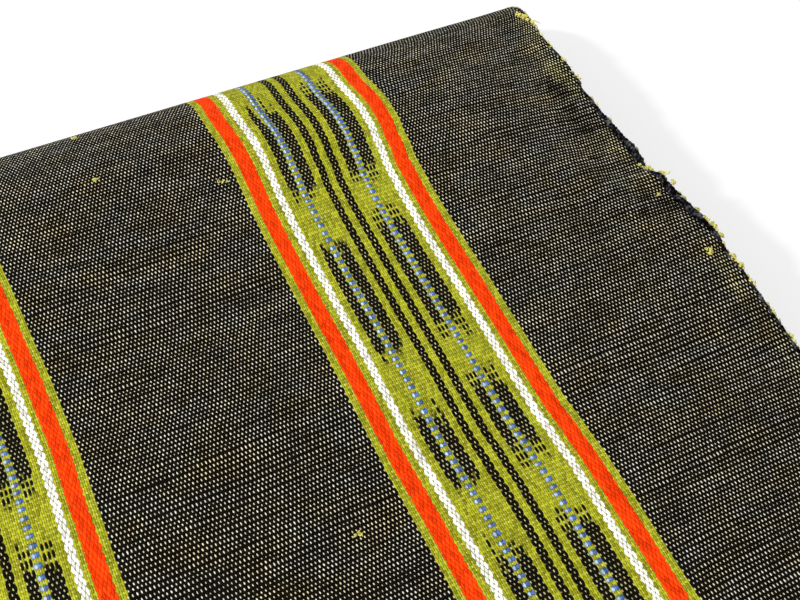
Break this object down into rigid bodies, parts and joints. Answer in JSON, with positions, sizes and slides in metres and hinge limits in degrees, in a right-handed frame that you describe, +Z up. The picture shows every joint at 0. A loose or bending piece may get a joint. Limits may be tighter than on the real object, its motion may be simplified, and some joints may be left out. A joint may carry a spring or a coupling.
{
  "type": "ikat woven cloth",
  "caption": "Folded length of warp-faced striped cloth: dark ground, olive bands edged in orange and white, with resist-dyed patches.",
  "frame": {"origin": "middle of the resting face, on the underside of the bottom layer", "axes": "+X along the weft towards the drawn-in selvedge, +Y along the warp towards the wide back fold, +Z up"},
  "size_m": [0.2438, 0.2106, 0.0236],
  "materials": {
    "cloth": "matte warp-faced cotton, dark ground with olive, orange, white and blue stripes"
  },
  "bodies": {
    "root": {"cloth": "cloth"}
  },
  "joints": []
}
